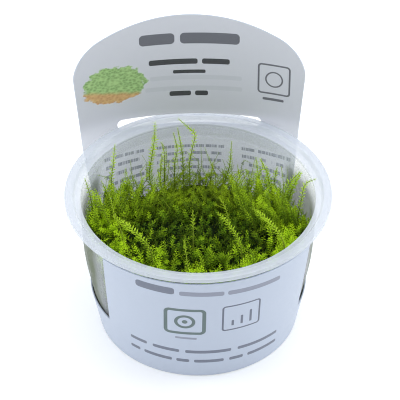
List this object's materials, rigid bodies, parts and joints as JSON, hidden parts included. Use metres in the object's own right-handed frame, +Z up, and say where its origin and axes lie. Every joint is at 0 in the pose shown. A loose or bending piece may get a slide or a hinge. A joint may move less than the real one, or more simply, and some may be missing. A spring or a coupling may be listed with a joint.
{
  "type": "tissue culture cup of stringy moss",
  "caption": "Tissue-cultured stringy aquarium moss standing in a shallow tapered cup of milky plastic, with a wrapped card label sleeve whose arched header rises behind the flange.",
  "frame": {"origin": "centre of the cup's foot, on the surface that it stands on", "axes": "+Z up, +Y towards the header behind the cup, +X to the right of someone who reads the front panel"},
  "size_m": [0.095, 0.0948, 0.0993],
  "materials": {
    "cup_plastic": "milky translucent polypropylene, satin gloss",
    "sleeve_card": "satin white printed card",
    "moss_cushion": "dense leafy moss, dark in its gaps",
    "moss_shoots": "young yellow-green moss leaves"
  },
  "bodies": {
    "root": {"cup": "cup_plastic", "label_sleeve": "sleeve_card", "moss_cushion": "moss_cushion", "moss_shoot_01": "moss_shoots", "moss_shoot_02": "moss_shoots", "moss_shoot_03": "moss_shoots", "moss_shoot_04": "moss_shoots", "moss_shoot_05": "moss_shoots", "moss_shoot_06": "moss_shoots", "moss_shoot_07": "moss_shoots", "moss_shoot_08": "moss_shoots", "moss_shoot_09": "moss_shoots", "moss_shoot_10": "moss_shoots", "moss_shoot_11": "moss_shoots", "moss_shoot_12": "moss_shoots", "moss_shoot_13": "moss_shoots", "moss_shoot_14": "moss_shoots", "moss_shoot_15": "moss_shoots", "moss_shoot_16": "moss_shoots", "moss_shoot_17": "moss_shoots", "moss_shoot_18": "moss_shoots", "moss_shoot_19": "moss_shoots"}
  },
  "joints": []
}
